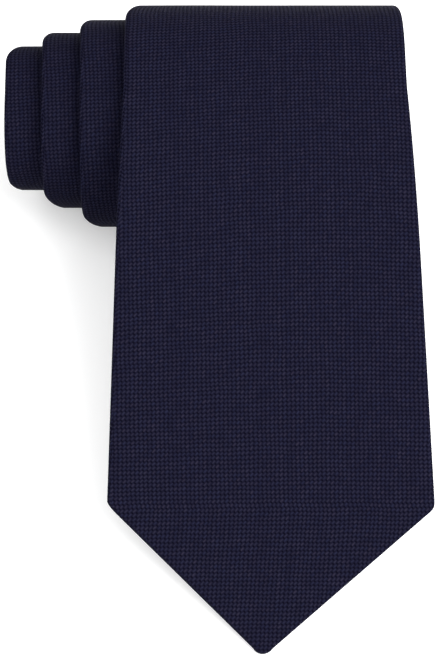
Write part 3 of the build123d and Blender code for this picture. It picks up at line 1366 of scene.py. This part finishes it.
@dataclass
class NarrowTail(Part):
    """The narrow end under the blade, and its length inside the roll."""

    face_depth: float = 2.1
    point: float = 69.0
    tip_back: float = 1.1
    tip_radius: float = 3.0
    corner: float = 87.0
    corner_half: float = 19.0
    corner_blend: float = 2.0
    taper: float = 0.034
    least_half: float = 17.0
    hand_over: float = 222.0
    wool_margin: float = 2.0
    wool_width: float = 34.0
    wool_depth: float = 0.5
    wool_foot: float = 12.0

    def outline(self, distance: float) -> float:
        """Half the tail's width, with its rounded point.

        Args:
            distance: Millimetres from the blade's point.

        Returns:
            Half the width in millimetres.
        """
        out = distance - self.point
        edge = self.corner_half * (out + self.tip_back) / (self.corner - self.point
                                                           + self.tip_back)
        side = max(self.least_half, self.corner_half - self.taper * (distance - self.corner))
        return point_half(out, edge, side, self.corner_blend, self.tip_radius)

    def lay(self, x: float, distance: float, depth: float) -> Vector:
        """Place a point of the tail under the blade."""
        return self.draping.place(x, distance, depth + self.face_depth)

    def inner(self, x: float, distance: float, depth: float) -> Vector:
        """Place a point of the interlining, inside the tail's first thickness of cloth."""
        return self.lay(x, distance, depth + self.wool_depth)

    def build(self) -> None:
        """The tail's end, its length in the roll, the interlinings and the lining."""
        low, seam = self.point, self.draping.path.seam
        rows = [low + out for out in TIP_ROWS] + spread(low + 5.6, self.hand_over, 1.6)
        for name, strip, node, body, width in (
                ("tail_end_cloth", Strip(rows, self.outline, end_round=self.end_round),
                 "tail_shell_end", None, 2.0 * self.corner_half),
                ("tail_rolled_cloth", Strip(spread(self.hand_over, seam, 1.1), self.outline),
                 "tail_shell_roll", Body.ROLL, 2.0 * self.outline(self.hand_over))):
            self.sew(name, strip, self.lay, Slot.SILK, node, body, width)
        for name, start, stop, node, body in (
                ("tail_end_interlining", low + self.wool_foot, self.hand_over,
                 "tail_interlining_end", None),
                ("tail_rolled_interlining", self.hand_over, seam - 4.0,
                 "tail_interlining_roll", Body.ROLL)):
            wool = self.wool(start, stop,
                             lambda d: self.outline(d - self.wool_setback) - self.wool_margin)
            self.sew(name, wool, self.inner, Slot.WOOL, node, body, self.wool_width)
        panel = Panel("tail_lining", [(0.0, low + 5.0), (13.5, low + 19.0), (10.0, low + 30.0),
                                      (-10.0, low + 30.0), (-13.5, low + 19.0)],
                      depth=-0.02, thickness=0.1)
        piece = panel.build(self.lay, self.finishes.tipping)
        self.settle(piece, Slot.TIPPING, "tail_tipping", Body.FRONT)
        self.declare(piece, 27.0, 25.0, "laid", 450.0, ["tail_end_cloth"])


@dataclass
class Neck(Part):
    """The neck band between the two seams, folded at the middle of the roll."""

    half_gap: float = 1.95
    look_back: float = 0.4

    def build(self) -> None:
        """Wind the band in, fold it and wind it out again."""
        path, cut = self.draping.path, self.draping.cut
        seam, core = path.seam, path.length
        fold = math.pi * self.half_gap
        end = 2.0 * core + fold - seam

        def place(x: float, along: float, depth: float) -> Vector:
            """Place a point of the band, before, on or after its fold.

            Args:
                x: Millimetres to the right of the band's middle.
                along: The place along the band.
                depth: Millimetres inside its outer face.

            Returns:
                The place in metres.
            """
            if along <= core:
                return self.draping.place(x, along, depth)
            if along >= core + fold:
                return self.draping.place(x, 2.0 * core + fold - along,
                                          2.0 * self.half_gap - depth)
            angle = math.pi * (along - core) / fold
            radius = self.half_gap - depth
            level = self.half_gap - radius * math.cos(angle)
            here = self.draping.place(x, core, level)
            before = self.draping.place(x, core - self.look_back, level)
            return here + (here - before).normalized() * radius * math.sin(angle) * MM

        rows = spread(seam, core, 1.1)[:-1] + spread(core, core + fold, 0.5)
        rows += spread(core + fold, end, 1.4)[1:]
        strip = Strip(rows, lambda d: 0.5 * (cut.half_width(d) + cut.neck_half_width),
                      self.cloth_thickness)
        self.sew("neck_cloth", strip, place, Slot.SILK, "neck_shell", Body.ROLL,
                 2.0 * strip.half_width(seam), "folded")


@dataclass(frozen=True)
class BlankLabel:
    """A blank label: where it lies, how large it is and what it is woven of."""

    name: str
    node: str
    body: Body
    held: str
    middle: Pair
    depth: float
    thickness: float
    corner: float
    satin: LiningSatin

    def panel(self) -> Panel:
        """The label's flat patch, as large as the frame of its satin."""
        (x, s), (wide, long) = self.middle, self.satin.frame
        return Panel(self.name, [(x - wide, s - long), (x + wide, s - long),
                                 (x + wide, s + long), (x - wide, s + long)],
                     self.depth, self.thickness, self.corner)


@dataclass
class BladeBack(Part):
    """The keeper, the blank labels and the stitches on the blade's back."""

    keeper_middle: float = 126.5
    keeper_half: float = 21.7
    keeper_face: float = 4.62
    keeper_turn: float = 1.2
    keeper_base: float = 1.7
    keeper_width: float = 11.0
    keeper_thickness: float = 0.55
    threadwork: tuple[Stitches, ...] = (
        Stitches("keeper_sewing", "keeper_stitches", (
            StitchRow(5, -22.2, 122.2, 1.88, 1.5, -0.35, step_distance=2.1),
            StitchRow(5, 22.2, 122.2, 1.88, 1.5, 0.35, step_distance=2.1))),
        Stitches("blade_tack", "blade_bar_tack", (
            StitchRow(8, 0.0, 64.3, 1.86, 7.0, math.pi / 2.0, step_distance=0.22),
            StitchRow(13, -3.0, 65.1, 2.02, 2.1, step_x=0.5))),
        Stitches("seam_stitches", "slip_stitch", (
            StitchRow(8, 0.0, 69.0, 1.72, 2.0, 0.45, step_distance=4.4),)),
        Stitches("tail_tack", "tail_bar_tack", (
            StitchRow(5, 0.0, 101.0, 2.03, 5.0, math.pi / 2.0, step_distance=0.22),), 0.12))
    labels: tuple[BlankLabel, ...] = (
        BlankLabel("blank_maker_label", "maker_label", Body.FRONT, "laid", (0.0, 110.5),
                   depth=1.82, thickness=0.12, corner=0.4, satin=LiningSatin(
                       colour=(0.0080, 0.0090, 0.0240), light=(0.0240, 0.0270, 0.0600),
                       rib=0.30, roughness=0.30, frame=(22.0, 8.3))),
        BlankLabel("blank_care_label", "care_label", Body.CARE, "hung", (30.95, 118.0),
                   depth=2.14, thickness=0.2, corner=0.3, satin=LiningSatin(
                       colour=(0.0120, 0.0130, 0.0260), light=(0.0340, 0.0360, 0.0620),
                       rib=0.28, frame=(5.05, 12.8))))

    def lengths(self) -> Triple:
        """Measure the keeper's band.

        Returns:
            The length of its leg, of the arc of its turn, and of the whole band.
        """
        leg = self.keeper_face - self.keeper_turn - self.keeper_base
        arc = self.keeper_turn * math.pi / 2.0
        return leg, arc, 2.0 * (leg + arc) + 2.0 * (self.keeper_half - self.keeper_turn)

    def band(self, along: float, depth: float) -> Pair:
        """A point of the keeper's band, seen along the tie.

        Args:
            along: The place along the band, from its left foot.
            depth: Millimetres inside its outer face.

        Returns:
            The point's x, and its depth behind the blade's face.
        """
        half, face, turn = self.keeper_half, self.keeper_face, self.keeper_turn
        leg, arc, whole = self.lengths()
        side = 1.0
        if along > 0.5 * whole:
            along, side = whole - along, -1.0
        if along < leg:
            return side * (depth - half), self.keeper_base + along
        if along < leg + arc:
            angle = (along - leg) / turn
            return (side * (turn - half - (turn - depth) * math.cos(angle)),
                    face - turn + (turn - depth) * math.sin(angle))
        return side * (along - leg - arc + turn - half), face - depth

    def wrap(self, across: float, along: float, depth: float) -> Vector:
        """Place a point of the keeper's band round the tail."""
        x, level = self.band(along, depth)
        return self.draping.place(x, self.keeper_middle + across, level)

    def build(self) -> None:
        """Make every small piece of the blade's back."""
        leg, arc, whole = self.lengths()
        rows = spread(0.0, leg, 0.5) + spread(leg, leg + arc, 0.25)[1:]
        rows += spread(leg + arc, whole - leg - arc, 2.0)[1:]
        rows += spread(whole - leg - arc, whole - leg, 0.25)[1:]
        rows += spread(whole - leg, whole, 0.5)[1:]
        strip = Strip(rows, lambda _: 0.5 * self.keeper_width, self.keeper_thickness, column=1.2)
        bm = strip.flat()
        strip.bend(bm, self.wrap)
        piece = make_piece("keeper_band", bm, self.finishes.silk)
        self.settle(piece, Slot.SILK, "keeper_loop", Body.FRONT)
        self.declare(piece, self.keeper_width, whole, "folded")
        for job in self.threadwork:
            piece = job.build(self.draping.place, self.finishes.thread)
            self.settle(piece, Slot.THREAD, job.node, Body.FRONT)
        for label in self.labels:
            satin = label.satin.make(label.node.replace("_", " ") + " satin")
            piece = label.panel().build(self.draping.place, satin)
            self.settle(piece, Slot.LABEL, label.node, label.body)
            wide, long = label.satin.frame
            self.declare(piece, 2.0 * wide, 2.0 * long, label.held,
                         rests_on=["blade_front_cloth"])


@dataclass
class Studio:
    """The table, the lights and the camera."""

    table_half: float = 3.0
    key: tuple[Triple, float, float] = ((1.15, -0.32, 1.46), 1.5, 56.0)
    fill: tuple[Triple, float, float] = ((-0.4, -0.5, 1.6), 1.4, 14.0)
    aim: Triple = (0.0, 0.02, 0.02)
    sky: float = 0.78
    camera_place: Triple = (0.0010, -0.2234, 0.4894)
    camera_tilt: float = math.radians(25.0)
    lens: float = 108.0
    sensor: float = 36.0
    near_clip: float = 0.01

    def floor(self) -> None:
        """A wide pale table, which isn't part of the tie."""
        bm = bmesh.new()
        bmesh.ops.create_grid(bm, x_segments=1, y_segments=1, size=self.table_half)
        make_piece("table", bm, PaleTable().make("pale table"))

    def light(self, name: str, place: Triple, size: float, power: float) -> None:
        """Hang a soft square light that faces the tie.

        Args:
            name: The light's name.
            place: Where it hangs, in metres.
            size: Its side in metres.
            power: Its power in watts.
        """
        lamp = bpy.data.lights.new(name, "AREA")
        lamp.energy = power
        lamp.size = size
        holder = bpy.data.objects.new(name, lamp)
        bpy.context.scene.collection.objects.link(holder)
        holder.location = place
        aim = Vector(self.aim) - Vector(place)
        holder.rotation_euler = aim.to_track_quat("-Z", "Y").to_euler()

    def build(self) -> None:
        """Set up the table, lights, world and camera."""
        self.floor()
        self.light("key", *self.key)
        self.light("fill", *self.fill)
        world = bpy.data.worlds.new("studio")
        world.use_nodes = True
        sky = world.node_tree.nodes["Background"]
        sky.inputs[0].default_value = (1.0, 1.0, 1.0, 1.0)
        sky.inputs[1].default_value = self.sky
        bpy.context.scene.world = world
        bpy.context.scene.view_settings.view_transform = "Standard"
        camera = bpy.data.cameras.new("camera")
        camera.lens = self.lens
        camera.sensor_width = self.sensor
        camera.clip_start = self.near_clip
        holder = bpy.data.objects.new("camera", camera)
        holder.location = self.camera_place
        holder.rotation_euler = (self.camera_tilt, 0.0, 0.0)
        bpy.context.scene.collection.objects.link(holder)
        bpy.context.scene.camera = holder


def main() -> None:
    """Build the tie and the studio."""
    logging.basicConfig(level=logging.INFO, format="%(name)s: %(message)s")
    path = RollPath()
    cut = TieCut(path)
    draping = Draping(path, cut)
    LOG.info("outer face %.0f mm to the core, seam at %.0f mm", path.length, path.seam)
    finishes = Finishes()
    blade = WideBlade(draping, finishes)
    blade.build_front()
    blade.build_rolled()
    blade.build_tipping()
    NarrowTail(draping, finishes).build()
    Neck(draping, finishes).build()
    BladeBack(draping, finishes).build()
    Studio().build()


if __name__ == "__main__":
    main()
